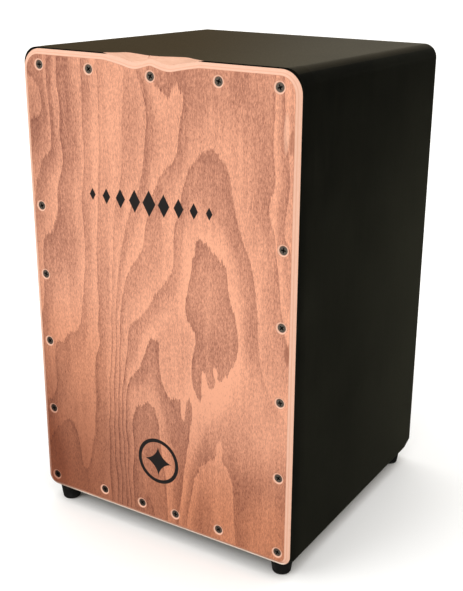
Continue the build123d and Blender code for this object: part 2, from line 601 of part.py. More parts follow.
def main():
    os.makedirs("parts", exist_ok=True)
    nodes = {
        "top_panel": top_panel(),
        "bottom_panel": bottom_panel(),
        "left_side_panel": side_panel(-1),
        "right_side_panel": side_panel(1),
        "back_panel": back_panel(),
        "tapa": tapa(),
        "tapa_screws": tapa_screws(),
        "back_panel_screws": back_panel_screws(),
        "foot_washers": foot_washers(),
        "foot_screws": foot_screws(),
        "string_saddle": string_saddle(),
        "string_anchor_screws": string_anchor_screws(),
        "tuner_bracket_screws": tuner_bracket_screws(),
    }
    nodes.update(front_battens())
    nodes.update(rear_battens())
    nodes.update(corner_battens())
    for place, (x, y) in FOOT_PLACES.items():
        nodes[f"foot_{place}"] = foot(x, y)
    for number, (low_x, top_x) in enumerate(zip(string_low_xs(), string_top_xs()), start=1):
        nodes[f"snare_string_{number}"] = snare_string(low_x, top_x)
    for side, x in {"left": -TUNER_X, "right": TUNER_X}.items():
        nodes[f"tuner_bracket_{side}"] = tuner_bracket(x)
        nodes[f"tuner_bush_{side}"] = tuner_bush(x)
        nodes[f"tuner_screw_{side}"] = tuner_screw(x)
        nodes[f"tuner_carriage_{side}"] = tuner_carriage(x)
        nodes[f"string_ball_ends_{side}"] = string_ball_ends(x)
    for name, shape in nodes.items():
        save(name, shape)


main()
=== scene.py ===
import math

import bmesh
import bpy
import numpy as np
from mathutils import Matrix, Vector


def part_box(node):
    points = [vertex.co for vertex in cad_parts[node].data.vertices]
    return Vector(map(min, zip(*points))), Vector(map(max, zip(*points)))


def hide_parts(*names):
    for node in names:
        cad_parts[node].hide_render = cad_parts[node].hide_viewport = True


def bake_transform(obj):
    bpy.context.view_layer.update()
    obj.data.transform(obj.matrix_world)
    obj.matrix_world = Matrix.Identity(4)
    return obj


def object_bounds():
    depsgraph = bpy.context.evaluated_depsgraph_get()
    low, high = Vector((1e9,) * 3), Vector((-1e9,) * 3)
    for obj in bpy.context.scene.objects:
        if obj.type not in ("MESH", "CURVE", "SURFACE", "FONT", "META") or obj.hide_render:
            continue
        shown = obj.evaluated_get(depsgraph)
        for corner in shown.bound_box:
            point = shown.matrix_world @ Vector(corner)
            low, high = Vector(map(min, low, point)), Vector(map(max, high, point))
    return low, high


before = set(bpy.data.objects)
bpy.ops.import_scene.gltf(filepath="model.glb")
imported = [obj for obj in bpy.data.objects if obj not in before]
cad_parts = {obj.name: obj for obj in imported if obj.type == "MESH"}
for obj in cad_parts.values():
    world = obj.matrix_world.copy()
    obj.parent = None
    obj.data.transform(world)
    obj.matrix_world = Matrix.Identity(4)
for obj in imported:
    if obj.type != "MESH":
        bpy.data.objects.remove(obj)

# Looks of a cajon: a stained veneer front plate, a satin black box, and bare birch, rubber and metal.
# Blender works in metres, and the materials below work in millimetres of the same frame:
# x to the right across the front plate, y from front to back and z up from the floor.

MM = 0.001
CAD_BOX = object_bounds()

# Places on the part, in millimetres
PLATE_LOW, PLATE_HIGH = (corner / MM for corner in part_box("tapa"))
PLATE_FACE = PLATE_LOW.y
SCREW_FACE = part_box("tapa_screws")[0].y / MM
BODY_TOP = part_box("top_panel")[1].z / MM
BODY_MIDDLE = (BODY_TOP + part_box("bottom_panel")[0].z / MM) / 2

# Camera: its place in metres, its angles in degrees, its lens and sensor in millimetres
CAMERA_PLACE = (0.5257, -0.8339, 0.5699)
CAMERA_TURN = 30.114
CAMERA_TILT = 18.996
CAMERA_ROLL = 1.094
CAMERA_LENS = 59.289
CAMERA_SENSOR = 36
CAMERA_SHIFT = (-0.0688, -0.0154)

# The one lamp, a square soft box to the front left
KEY_PLACE = (-1.3, -2.4, 1.9)
KEY_SIZE = 1.6
KEY_POWER = 28

# What lights the object from all round, as (height, colour).
# Height runs from 0 for straight down over 0.5 for level to 1 for straight up.
STUDIO_GLOW = [
    (0.0, (0.02, 0.02, 0.02)),
    (0.48, (0.03, 0.03, 0.025)),
    (0.58, (0.22, 0.19, 0.14)),
    (0.72, (0.5, 0.47, 0.42)),
    (1.0, (1.0, 1.0, 1.0)),
]
STUDIO_STRENGTH = 1.9
# The white that the camera sees past the floor
SEEN_STRENGTH = 1.05

# What shiny surfaces reflect instead: a low bright band round a dark room
REFLECTED_GLOW = [
    (0.0, (0.03, 0.03, 0.025)),
    (0.44, (0.02, 0.02, 0.016)),
    (0.5, (0.03, 0.03, 0.025)),
    (0.54, (0.22, 0.2, 0.155)),
    (0.59, (0.24, 0.22, 0.17)),
    (0.64, (0.04, 0.04, 0.035)),
    (1.0, (0.04, 0.04, 0.035)),
]
# The band is warmer to the left. It is missing to the right, where the room is dark from this height up.
REFLECTED_LEFT = (-0.42, -0.58)
REFLECTED_LEFT_TINT = (0.7, 0.58, 0.43, 1)
DARK_ABOVE = (0.5, 0.53)
DARK_RIGHT_OF = (-0.2, 0.15)
DARK_ROOM = (0.03, 0.03, 0.025, 1)

# The veneer's figure and the print are placed from here, (across, up) in millimetres
FIGURE_ORIGIN = (0.45, 1.75)
# Growth lines in the front plate's veneer, each the sharp edge where a year's growth ends.
# Years count up towards the heart of the figure. A line's points are (across, up) from the origin.
GROWTH_LINES = [
    (0.0, [(-141, 452), (-134, 447), (-130, 436), (-130, 425), (-138, 415), (-148, 410)]),
    (1.0, [(-120, 474), (-121, 440), (-119, 410), (-121, 385), (-131, 377), (-136, 364), (-142, 350),
           (-146, 320)]),
    (2.0, [(-108, 476), (-110, 450), (-107, 430), (-108, 400), (-106, 384), (-113, 355), (-116, 330),
           (-123, 309), (-127, 301), (-135, 297), (-138, 275), (-139, 250), (-141, 230), (-146, 208)]),
    (3.0, [(-80, 478), (-79, 440), (-80, 400), (-80, 373), (-83, 355), (-85, 320), (-84, 290), (-87, 256),
           (-91, 230), (-96, 209), (-104, 202), (-113, 196), (-118, 188), (-128, 183), (-130, 165),
           (-130, 142), (-136, 124), (-148, 112)]),
    (4.0, [(-61, 478), (-60, 440), (-61, 400), (-64, 360), (-66, 330), (-69, 290), (-70, 255), (-72, 215),
           (-76, 180), (-78, 140), (-81, 110), (-84, 85), (-88, 65), (-93, 51), (-99, 53), (-102, 70),
           (-106, 90), (-113, 102), (-122, 97), (-134, 86), (-141, 75), (-148, 64)]),
    (5.0, [(-31, 478), (-32, 440), (-34, 400), (-39, 360), (-47, 325), (-50, 290), (-52, 250), (-54, 210),
           (-58, 170), (-60, 130), (-62, 90), (-63, 50), (-62, 16)]),
    (6.0, [(-19, 478), (-12, 457), (-7, 440), (-7, 415), (-10, 390), (-16, 362), (-27, 340), (-34, 318),
           (-41, 290), (-46, 260), (-49, 230), (-50, 195), (-54, 155), (-56, 110), (-56, 70), (-55, 20)]),
    (6.0, [(134, 478), (135, 455), (137, 425), (141, 390), (138, 360), (137, 343), (143, 328), (147, 305)]),
    (7.0, [(-5, 478), (-3, 465), (4, 457), (11, 452), (17, 447), (22, 456), (27, 460), (29, 449),
           (34, 438), (30, 420), (27, 401), (20, 389), (9, 378), (2, 364), (-3, 352), (-9, 330),
           (-13, 307), (-21, 293), (-29, 282), (-36, 265), (-41, 246), (-44, 220), (-46, 190), (-48, 155),
           (-50, 115), (-50, 75), (-49, 20)]),
    (7.0, [(126, 478), (126, 440), (125, 415), (127, 385), (122, 357), (127, 341), (131, 315), (134, 288),
           (138, 262), (147, 228)]),
    (8.0, [(-42, 18), (-43, 60), (-44, 100), (-44, 130), (-41, 165), (-36, 193), (-34, 215), (-26, 229),
           (-12, 243), (-1, 260), (9, 273), (19, 287), (22, 305), (24, 332), (30, 353), (36, 378),
           (43, 391), (52, 400), (65, 406), (74, 398), (81, 388), (86, 364), (91, 343), (100, 320),
           (108, 296), (112, 262), (114, 228), (122, 196), (147, 160)]),
    (8.0, [(33, 16), (36, 45), (40, 70), (46, 87), (53, 98), (64, 107), (68, 117), (70, 128), (74, 114),
           (80, 103), (86, 88), (88, 60), (91, 16)]),
    (9.0, [(-38, 16), (-40, 60), (-41, 110), (-39, 145), (-35, 163), (-24, 179), (-14, 199), (-10, 210),
           (0, 217), (2, 200), (3, 183), (8, 166), (21, 160), (28, 151), (31, 137), (35, 155), (40, 164),
           (41, 146), (37, 122), (32, 94), (28, 66), (23, 16)]),
    (9.0, [(50, 324), (46, 310), (41, 292), (36, 270), (34, 258), (37, 243), (44, 232), (44, 215),
           (41, 200), (41, 186), (44, 174), (48, 165), (51, 178), (51, 194), (56, 196), (60, 182),
           (64, 198), (68, 204), (72, 190), (78, 197), (87, 209), (92, 234), (88, 257), (81, 284),
           (79, 301), (69, 311), (60, 319)]),
    (10.0, [(-33, 16), (-33, 60), (-31, 105), (-28, 134), (-20, 143), (-12, 147), (-4, 143), (0, 130),
            (2, 108), (6, 80), (9, 45), (10, 16)]),
]
# Places inside the lines where the wood has reached part of a year, as (years, across, up)
GROWTH_INSIDE = [
    (-0.3, -143, 432), (1.6, -114, 430), (1.7, -128, 340), (2.5, -112, 260), (2.8, -130, 210),
    (3.5, -112, 160), (3.8, -95, 120), (4.5, -122, 60), (4.5, -80, 30), (6.85, 14, 430), (7.25, 60, 466),
    (7.25, 100, 460), (7.8, 66, 425), (7.7, 100, 400), (7.8, 98, 360), (8.35, 55, 365), (8.5, 70, 345),
    (8.25, 27, 300), (8.9, 37, 310), (8.85, 25, 235), (8.95, 20, 190), (9.2, 46, 188), (9.25, 47, 203),
    (8.93, 34, 195), (8.9, 42, 167), (8.85, 46, 148), (9.1, 60, 194), (9.45, 62, 260), (9.4, -6, 185),
    (9.3, 18, 120), (10.4, -14, 90), (7.6, 64, 55), (8.5, 100, 240), (8.85, 58, 155), (8.75, 60, 335),
    (8.3, 100, 110), (8.4, 125, 110), (8.35, 130, 50), (7.85, 125, 225), (5.5, -38, 330), (8.6, 33, 60),
]
# The figure is smoother up the plate than across it, and is allowed to miss its points by a hair
FIGURE_STRETCH = (0.01, 0.0045)
FIGURE_SMOOTHING = 2e-5
# It is worked out this far past the plate's sides, bottom and top, because the grain shifts it about
FIGURE_PAST_SIDES = 5
FIGURE_PAST_BOTTOM = 14
FIGURE_PAST_TOP = 12
# Points on each curve of the figure, and how many products of two curves add up to it
FIGURE_STEPS = 150
FIGURE_TERMS = 36

# Each year's tone at its start and its end, from 0 for dark to 1 for light, from year 0 on
YEAR_TONES = [
    (0.25, 0.75), (0.1, 0.8), (0.05, 0.85), (0.3, 0.9), (0.45, 0.85), (0.5, 0.75), (0.12, 0.8),
    (0.15, 0.72), (0.05, 1.0), (0.0, 0.9), (0.2, 0.45),
]
# Whole years added before a year's share is taken, so that none is below 0
YEARS_BEFORE = 20
# The dark lines at the start of a year fade out by these shares of it
LINE_SHARE = 0.14
WIDE_LINE_SHARE = 0.45
# How far the tone has gone from its start to its end, as (share of the year, share of the way)
YEAR_COURSE = [(0.0, 0.0), (0.42, 0.26), (0.68, 0.78), (0.96, 1.0)]

# A patch fades between these squares of the distance from its middle, as a share of its reach
PATCH_FALL = (1.0, 0.25)
# Places on the plate are (middle, reach), each (across, up) in millimetres.
# Here the years are narrow and show as dark lines on an even ground.
LINED_PLACE = ((-48, 110), (22, 150))
# How much a narrow line changes the tone outside and inside that place, and a wide line inside it
LINE_DEPTH = (-0.15, -0.7)
WIDE_LINE_DEPTH = -0.5
# Here the years' tones are evened out too, as (middle, reach, how much)
CALM_PLACES = [((122, 185), (38, 70), 1.0), ((-50, 425), (34, 75), 0.6)]
# They are brought at most this far towards this tone
CALM_SHARE = 0.6
CALM_TONE = 0.62
# Broad places where the whole figure is darker or lighter, as (middle, reach, change of tone)
STAIN_DRIFT = [
    ((-118, 430), (60, 80), -0.34), ((95, 160), (80, 70), 0.34), ((5, 280), (55, 65), 0.16),
    ((124, 45), (30, 45), 0.34), ((20, 430), (45, 60), -0.12), ((70, 280), (50, 60), 0.12),
    ((22, 205), (25, 55), -0.34),
]
# Small patches, as (middle, reach, how strong): below 0 is dark and above 0 is light
STAIN_PATCHES = [
    ((143, 420), (5, 14), -0.5), ((137, 428), (3, 20), 0.5), ((143, 234), (4, 12), -0.6),
]

# Painted shade in the lower left corner, where the plate lies in less light: the places where it sets in
# and is full, and its depths
PAINTED_SHADE_HEIGHTS = (250, 25)
PAINTED_SHADE_ACROSS = (60, -150)
PAINTED_SHADE_DEPTHS = (0.28, 0.95)
PAINTED_SHADE_EDGE_ACROSS = (-112, -148)
PAINTED_SHADE_EDGE_DEPTH = 0.22
# Where the stain is redder, along the bottom to the right and on the left
WARM_HEIGHTS = (150, 40)
WARM_ACROSS = (-90, 50)
WARM_LEFT_HEIGHTS = (270, 170)
WARM_LEFT_ACROSS = (-20, -90)
WARM_LEFT_DEPTH = 0.6

# How far the grain shifts the figure, across and up
GRAIN_WANDER = 1.6
GRAIN_TEETH = 11
# Streaks, clouds and fibres in the veneer's tone, as (size, stretch up, roughness, seed, depth)
VENEER_GRAIN = [
    (3.5, 30, 0.5, 3.0, 0.4),
    (22, 3.5, 0.5, 4.0, 0.5),
    (1.1, 3, 0.7, 5.0, 1.6),
]
PORE_LEVELS = (0.54, 0.7)
PORE_DEPTH = -0.5
# The tones that are shown as the darkest and the palest wood
TONE_RANGE = (-0.64, 1.14)

# Bands on the plate's cut edges, by depth below its face, and how far they waver
PLY_WAVER = 0.12
FACE_PLY = (0.2, 0.08)
GLUE_START = (0.95, 1.1)
GLUE_END = (1.5, 1.3)
# Where the edge looks down it is dark down to this depth and painted pale below it, as painted light where
# it lies in shadow
UNDER_PAINTED_LIGHT = (1.3, 1.6)
# Painted shade on the lower left of the cut edge, where it lies in less light
EDGE_SHADE_ACROSS = (-95, -142)
EDGE_SHADE_HEIGHTS = (210, 60)

# How far a surface has to face a way to count, as that part of its direction, from none to full
TO_FRONT = (-0.96, -0.985)
TO_BACK = (0.9, 0.98)
DOWN = (-0.3, -0.5)
UP = (0.6, 0.98)
OFF_FRONT = (-0.99, -0.95)
SCREW_SLOPE = (-0.9, -0.6)

# The printed row of lozenges, and the star in its ring, in millimetres from the figure's origin
ROW_MIDDLE = (-5, 349)
ROW_PITCH = 16.5
ROW_HALF_COUNT = 4
LOZENGE_HALF = (7.4, 12.5)
LOZENGE_SHRINK = 0.13
LOZENGE_EDGE = (1.03, 0.97)
STAR_MIDDLE = (-1, 86)
STAR_REACH = 17.0
STAR_POWER = 0.62
STAR_EDGE = (1.01, 0.98)
RING_RADIUS = 22.5
RING_EDGE = (2.1, 1.8)

# The paint is blackest at its front edge and fades towards the back, and it fades less high up
PAINT_EDGE = (-148, -118)
PAINT_EDGE_FADE = 0.2
PAINT_BACKWARDS = (-30, 146)
PAINT_BACKWARDS_FADE = (0.04, 0.38)
PAINT_HEIGHTS = (560, 260)
# How far clouds and brush marks change the fading
PAINT_MARKS = 0.12
# A painted sheen on top, standing in for the light it mirrors, changes its colour across the box, and lies
# thinner and thicker between these
PAINTED_SHEEN_ACROSS = (-70, 140)
PAINTED_SHEEN_CLOUDS = (0.6, 1.0)

# The hand scoops' bare wood in the top board ends this far out from the middle and back from the plate's
# face, and it lies between these depths below the top
SCOOPS_HALF_WIDTH = (68, 66)
SCOOPS_BACK = (50, 48)
SCOOPS_UPPER = (0.1, 0.3)
SCOOPS_LOWER = (9, 8.5)
# A board's face counts as an inner one where the box's middle lies this far in front of it, in millimetres
INNER_FACES = (-95, -105)
# Painted shade: the recess of a plate screw's head is painted black between these depths
SCREW_RECESS_SHADE_DEPTHS = (0.15, 0.5)

# A string is cut into slices of this length, in metres
STRING_STEP = 6 * MM
# Its winding steps up by this much a turn, in millimetres
WINDING_PITCH = 0.55

# Half the floor's side, in metres
FLOOR_HALF = 30.0


# ---------------------------------------------------------------- building materials


class Shade:
    """One material, or the world, under construction. Inputs are other outputs or plain values, and a call
    returns an output."""

    def __init__(self, name, owner=None):
        self.owner = owner or bpy.data.materials.new(name)
        self.owner.use_nodes = True
        self.tree = self.owner.node_tree
        self.tree.nodes.clear()

    def node(self, kind, inputs, output=0, **settings):
        made = self.tree.nodes.new("ShaderNode" + kind)
        for setting, value in settings.items():
            setattr(made, setting, value)
        for key, value in inputs.items():
            if isinstance(value, bpy.types.NodeSocket):
                self.tree.links.new(value, made.inputs[key])
            else:
                made.inputs[key].default_value = value
        return made.outputs[output] if len(made.outputs) else None

    def math(self, operation, a, b=0.0):
        return self.node("Math", {0: a, 1: b}, operation=operation)

    def add(self, a, b):
        return self.math("ADD", a, b)

    def times(self, a, b):
        return self.math("MULTIPLY", a, b)

    def larger(self, a, b):
        return self.math("MAXIMUM", a, b)

    def away(self, value, middle):
        """Distance of a value from a middle."""
        return self.math("ABSOLUTE", self.add(value, -middle))

    def scaled(self, vector, factors):
        return self.node("VectorMath", {0: vector, 1: factors}, operation="MULTIPLY")

    def join(self, x, y, z):
        return self.node("CombineXYZ", {0: x, 1: y, 2: z})

    def split(self, vector):
        made = self.node("SeparateXYZ", {0: vector}).node
        return made.outputs[0], made.outputs[1], made.outputs[2]

    def rise(self, value, low, high):
        """0 below low, 1 above high and smooth between. With low above high it falls instead."""
        return self.node("MapRange", {0: value, 1: low, 2: high}, interpolation_type="SMOOTHSTEP")

    def span(self, value, from_low, from_high, to_low, to_high):
        """The value carried over from one range to another, and held at its ends."""
        return self.node("MapRange", {0: value, 1: from_low, 2: from_high, 3: to_low, 4: to_high})

    def mix(self, share, a, b, blend="MIX"):
        return self.node("Mix", {0: share, 6: a, 7: b}, output=2, data_type="RGBA", blend_type=blend)

    def tint(self, share, colour, tint):
        """The colour multiplied by a tint, as far as share says."""
        return self.mix(share, colour, self.mix(1.0, colour, tint, "MULTIPLY"))

    def ramp(self, share, stops, interpolation="LINEAR"):
        """A colour by share, from stops of (share, (red, green, blue))."""
        colour = self.node("ValToRGB", {0: share})
        colour.node.color_ramp.interpolation = interpolation
        elements = colour.node.color_ramp.elements
        while len(elements) < len(stops):
            elements.new(0.5)
        for element, (place, levels) in zip(elements, stops):
            element.position = place
            element.color = (*levels, 1)
        return colour

    def place(self):
        """The surface point in millimetres of the part's frame."""
        point = self.node("TexCoord", {}, output=3)
        return self.scaled(point, (1000, 1000, 1000))

    def facing(self):
        """The surface's own direction, as x, y and z."""
        return self.split(self.node("TexCoord", {}, output=1))

    def noise(self, point, size, stretch=(1, 1, 1), detail=2.0, roughness=0.5, seed=0.0):
        """Smooth noise from 0 to 1 with lumps of about size millimetres, longer along stretch."""
        spot = self.scaled(point, tuple(1 / (size * s) for s in stretch))
        return self.node(
            "TexNoise",
            {"Vector": spot, "W": seed, "Scale": 1.0, "Detail": detail, "Roughness": roughness},
            noise_dimensions="4D",
        )

    def bump(self, height, distance):
        """Relief from a height of 0 to 1, with distance in millimetres for its depth."""
        return self.node("Bump", {"Height": height, "Distance": distance * MM, "Strength": 1.0})

    def finish(self, **sockets):
        """Ends the material in a Principled shader. Socket names have _ for a space."""
        inputs = {key.replace("_", " "): value for key, value in sockets.items()}
        shader = self.node("BsdfPrincipled", inputs)
        self.node("OutputMaterial", {"Surface": shader})
        return self.owner


def rgb(red, green, blue):
    """A colour given as it looks on screen, from 0 to 255, as the linear values that shaders take."""
    levels = (level / 255 for level in (red, green, blue))
    return tuple(v / 12.92 if v <= 0.04045 else ((v + 0.055) / 1.055) ** 2.4 for v in levels) + (1.0,)


# How much brighter than their own colour things look in this light, at the front plate
FRONT_LIGHT = 1.28


def lit(red, green, blue):
    """The own colour of something on the front plate that looks like this in the studio's light."""
    return tuple(level / FRONT_LIGHT for level in rgb(red, green, blue)[:3]) + (1.0,)


# Pairs of colours are (dark, light)
STAINED_WOOD = (lit(150, 91, 73), lit(255, 183, 149))
STAIN_PATCH = (lit(150, 88, 65), lit(255, 200, 172))
PRINT_BLACK = lit(40, 36, 36)
CUT_WOOD = (lit(244, 188, 162), lit(255, 207, 182))
CUT_GLUE = lit(242, 184, 158)
CUT_FACE_PLY = lit(216, 152, 122)
# The cut edge where it looks down: its pale colour is painted light
CUT_UNDER_PAINTED_LIGHT = (lit(206, 140, 110), lit(255, 238, 224))
PLATE_BACK = (rgb(205, 160, 118), rgb(228, 186, 144))
# What the painted shade of the lower left corner, the stain's warmer places and the painted shade of the
# lower left edge multiply the wood's colour by
PAINTED_SHADE_TINT = (0.33, 0.212, 0.158, 1)
WARM_STAIN_TINT = (0.97, 0.85, 0.72, 1)
EDGE_SHADE_TINT = (0.5, 0.38, 0.34, 1)

BLACK_PAINT = (rgb(10, 10, 7), rgb(52, 52, 42))
# Painted sheen on what faces up, warmer to the left
PAINTED_SHEEN_LEFT = rgb(29, 19, 5)
PAINTED_SHEEN_RIGHT = rgb(50, 45, 34)
SCOOP_WOOD = (lit(222, 164, 136), lit(255, 208, 182))
INNER_WOOD = (rgb(196, 154, 108), rgb(226, 190, 146))

BIRCH = (rgb(196, 152, 106), rgb(232, 196, 150))
BIRCH_FIBRE = rgb(168, 122, 82)
RUBBER = (rgb(13, 13, 13), rgb(32, 31, 30))
SCREW_FLAT = (lit(92, 84, 76), lit(126, 116, 106))
# Painted shade on the plate screws towards the lower left
SCREW_PAINTED_SHADE = lit(52, 34, 26)
# Painted shade in the plate screws' recesses
SCREW_RECESS_SHADE = rgb(12, 11, 10)
WINDING = (rgb(150, 148, 146), rgb(206, 204, 200))
FLOOR = ((0.96, 0.97, 0.985, 1), (0.98, 0.985, 0.99, 1))


# ---------------------------------------------------------------- the front plate's figure


def figure_surface(across, up):
    """Years grown over a grid of the plate: the smooth surface that passes through every growth line."""
    points, years = [], []
    for year, line in GROWTH_LINES:
        points += line
        years += [year] * len(line)
    for year, x, z in GROWTH_INSIDE:
        points.append((x, z))
        years.append(year)
    stretch = np.array(FIGURE_STRETCH)
    points = np.array(points, float) * stretch
    count = len(points)
    gaps = np.linalg.norm(points[:, None] - points[None], axis=2) ** 3
    plane = np.hstack([np.ones((count, 1)), points])
    system = np.block([[gaps + FIGURE_SMOOTHING * np.eye(count), plane], [plane.T, np.zeros((3, 3))]])
    weights = np.linalg.solve(system, np.concatenate([years, np.zeros(3)]))
    grid = np.stack(np.meshgrid(across, up, indexing="ij"), axis=-1) * stretch
    reach = np.linalg.norm(grid[:, :, None] - points, axis=3) ** 3
    return reach @ weights[:count] + weights[count] + grid @ weights[count + 1:]


def figure_years(shade, x, z):
    """Years grown at a point of the plate. A shader holds curves, not a grid, so the surface is split into
    a short sum, each term a curve across the plate times a curve up it."""
    across = np.linspace(PLATE_LOW.x - FIGURE_PAST_SIDES, PLATE_HIGH.x + FIGURE_PAST_SIDES, FIGURE_STEPS)
    up = np.linspace(PLATE_LOW.z - FIGURE_PAST_BOTTOM, PLATE_HIGH.z + FIGURE_PAST_TOP, FIGURE_STEPS)
    left, strength, right = np.linalg.svd(figure_surface(across, up))
    left, right = left * np.sqrt(strength), right.T * np.sqrt(strength)
    x_share = shade.span(x, across[0], across[-1], -1, 1)
    z_share = shade.span(z, up[0], up[-1], -1, 1)
    total = 0.0
    for first in range(0, FIGURE_TERMS, 3):
        pair = [
            vector_curves(shade, x_share, left[:, first:first + 3]),
            vector_curves(shade, z_share, right[:, first:first + 3]),
        ]
        product = shade.node("VectorMath", {0: pair[0], 1: pair[1]}, output=1, operation="DOT_PRODUCT")
        total = shade.add(total, product)
    return total


def vector_curves(shade, share, columns):
    """Three curves of one share, from -1 to 1, as a vector. Each column of numbers is a curve's heights."""
    curves = shade.node("VectorCurve", {"Vector": shade.join(share, share, share)})
    mapping = curves.node.mapping
    mapping.use_clip = False
    steps = np.linspace(-1, 1, len(columns))
    for curve, heights in zip(mapping.curves, columns.T):
        curve.points[0].location = (-1, heights[0])
        curve.points[-1].location = (1, heights[-1])
        for step, height in zip(steps[1:-1], heights[1:-1]):
            curve.points.new(step, height)
    mapping.update()
    return curves


def ring_tone(shade, years):
    """Lightness of the wood, from 0 for dark to 1 for light, then a narrow and a wide line at the start of
    each year."""
    grown = shade.math("FRACT", shade.add(years, YEARS_BEFORE))
    course = shade.ramp(grown, [(share, (way, way, way)) for share, way in YEAR_COURSE])
    count = len(YEAR_TONES)
    stops = [(year / count, (first, last, first)) for year, (first, last) in enumerate(YEAR_TONES)]
    ends = shade.ramp(shade.times(years, 1 / count), stops, "CONSTANT")
    first, last, _ = shade.node("SeparateColor", {0: ends}).node.outputs
    tone = shade.node("Mix", {0: course, 2: first, 3: last})
    return tone, shade.rise(grown, LINE_SHARE, 0.0), shade.rise(grown, WIDE_LINE_SHARE, 0.0)


def patch(shade, x, z, middle, reach):
    """1 at a place on the plate, fading to 0 at its reach across and up."""
    dx = shade.times(shade.add(x, -middle[0]), 1 / reach[0])
    dz = shade.times(shade.add(z, -middle[1]), 1 / reach[1])
    away = shade.add(shade.times(dx, dx), shade.times(dz, dz))
    return shade.rise(away, *PATCH_FALL)


def figure_tone(shade, x, z, years):
    """Lightness of the growth rings, with dark lines or evened out at the places given for that."""
    tone, line, wide_line = ring_tone(shade, years)
    lined = patch(shade, x, z, *LINED_PLACE)
    calm = lined
    for middle, reach, strength in CALM_PLACES:
        calm = shade.larger(calm, shade.times(patch(shade, x, z, middle, reach), strength))
    tone = shade.node("Mix", {0: shade.times(calm, CALM_SHARE), 2: tone, 3: CALM_TONE})
    tone = shade.add(tone, shade.times(line, shade.span(lined, 0, 1, *LINE_DEPTH)))
    return shade.add(tone, shade.times(wide_line, shade.times(lined, WIDE_LINE_DEPTH)))


def with_grain(shade, point, tone):
    """The tone with streaks, clouds and fibres added, and pores taken off."""
    for size, stretch, roughness, seed, depth in VENEER_GRAIN:
        grain = shade.noise(point, size, stretch=(1, 1, stretch), detail=3, roughness=roughness, seed=seed)
        tone = shade.add(tone, shade.span(grain, 0, 1, -depth, depth))
    pores = shade.noise(point, 0.9, stretch=(1, 1, 2.4), detail=2, roughness=0.6, seed=6.0)
    return shade.add(tone, shade.times(shade.rise(pores, *PORE_LEVELS), PORE_DEPTH))


def stained_veneer(shade, point, x, z):
    """The front plate's stained face: growth rings, fibres, pores and the stain's own unevenness."""
    wander = shade.noise(point, 9, stretch=(1, 1, 7), seed=1.0)
    teeth = shade.noise(point, 2.0, stretch=(1, 1, 30), detail=4, roughness=0.65, seed=2.0)
    x_wood = shade.add(x, shade.span(wander, 0, 1, -GRAIN_WANDER, GRAIN_WANDER))
    z_wood = shade.add(z, shade.span(teeth, 0, 1, -GRAIN_TEETH, GRAIN_TEETH))
    tone = figure_tone(shade, x, z, figure_years(shade, x_wood, z_wood))
    tone = with_grain(shade, point, tone)
    for middle, reach, change in STAIN_DRIFT:
        tone = shade.add(tone, shade.times(patch(shade, x, z, middle, reach), change))
    wood = shade.mix(shade.span(tone, *TONE_RANGE, 0, 1), *STAINED_WOOD)
    for middle, reach, change in STAIN_PATCHES:
        share = shade.times(patch(shade, x_wood, z_wood, middle, reach), abs(change))
        wood = shade.mix(share, wood, STAIN_PATCH[change > 0])
    return wood


# ---------------------------------------------------------------- the front plate's painted shade, stain, edge and print


def painted_shade_depth(shade, x, z):
    """How far painted shade darkens the plate, from 0 to 1: most in the lower left corner, which lies in
    less light.
    """
    low = shade.rise(z, *PAINTED_SHADE_HEIGHTS)
    left = shade.rise(x, *PAINTED_SHADE_ACROSS)
    corner = shade.times(low, shade.span(left, 0, 1, *PAINTED_SHADE_DEPTHS))
    edge = shade.times(shade.rise(x, *PAINTED_SHADE_EDGE_ACROSS), PAINTED_SHADE_EDGE_DEPTH)
    return shade.math("MINIMUM", shade.add(corner, edge), 1.0)


def stain_warmth(shade, x, z):
    """Where the stain is redder, from 0 to 1: along the bottom to the right, and less on the left."""
    bottom_right = shade.times(shade.rise(z, *WARM_HEIGHTS), shade.rise(x, *WARM_ACROSS))
    left = shade.times(shade.rise(z, *WARM_LEFT_HEIGHTS), shade.rise(x, *WARM_LEFT_ACROSS))
    return shade.larger(bottom_right, shade.times(left, WARM_LEFT_DEPTH))


def cut_plies(shade, point, x, z):
    """Bare plywood where the plate's edge, scoops and screw holes are cut, banded by depth below the face.
    Where it looks down it is painted paler, as painted light, and its lower left is darkened as painted
    shade."""
    _, y, _ = shade.split(point)
    waver = shade.noise(point, 14, detail=2, seed=6.0)
    depth = shade.add(shade.add(y, -PLATE_FACE), shade.span(waver, 0, 1, -PLY_WAVER, PLY_WAVER))
    grain = shade.noise(point, 0.8, stretch=(4, 1, 4), detail=3, seed=7.0)
    glue = shade.times(shade.rise(depth, *GLUE_START), shade.rise(depth, *GLUE_END))
    wood = shade.mix(glue, shade.mix(grain, *CUT_WOOD), CUT_GLUE)
    edge = shade.mix(shade.rise(depth, *FACE_PLY), wood, CUT_FACE_PLY)
    _, _, facing_z = shade.facing()
    # Painted light: where the edge looks down it is painted paler, though it lies in shadow
    under = shade.mix(shade.rise(depth, *UNDER_PAINTED_LIGHT), *CUT_UNDER_PAINTED_LIGHT)
    plies = shade.mix(shade.rise(facing_z, *DOWN), edge, under)
    # Painted shade: the lower left of the cut edge is darkened where it lies in less light
    painted_edge_shade = shade.times(shade.rise(x, *EDGE_SHADE_ACROSS), shade.rise(z, *EDGE_SHADE_HEIGHTS))
    return shade.tint(painted_edge_shade, plies, EDGE_SHADE_TINT)


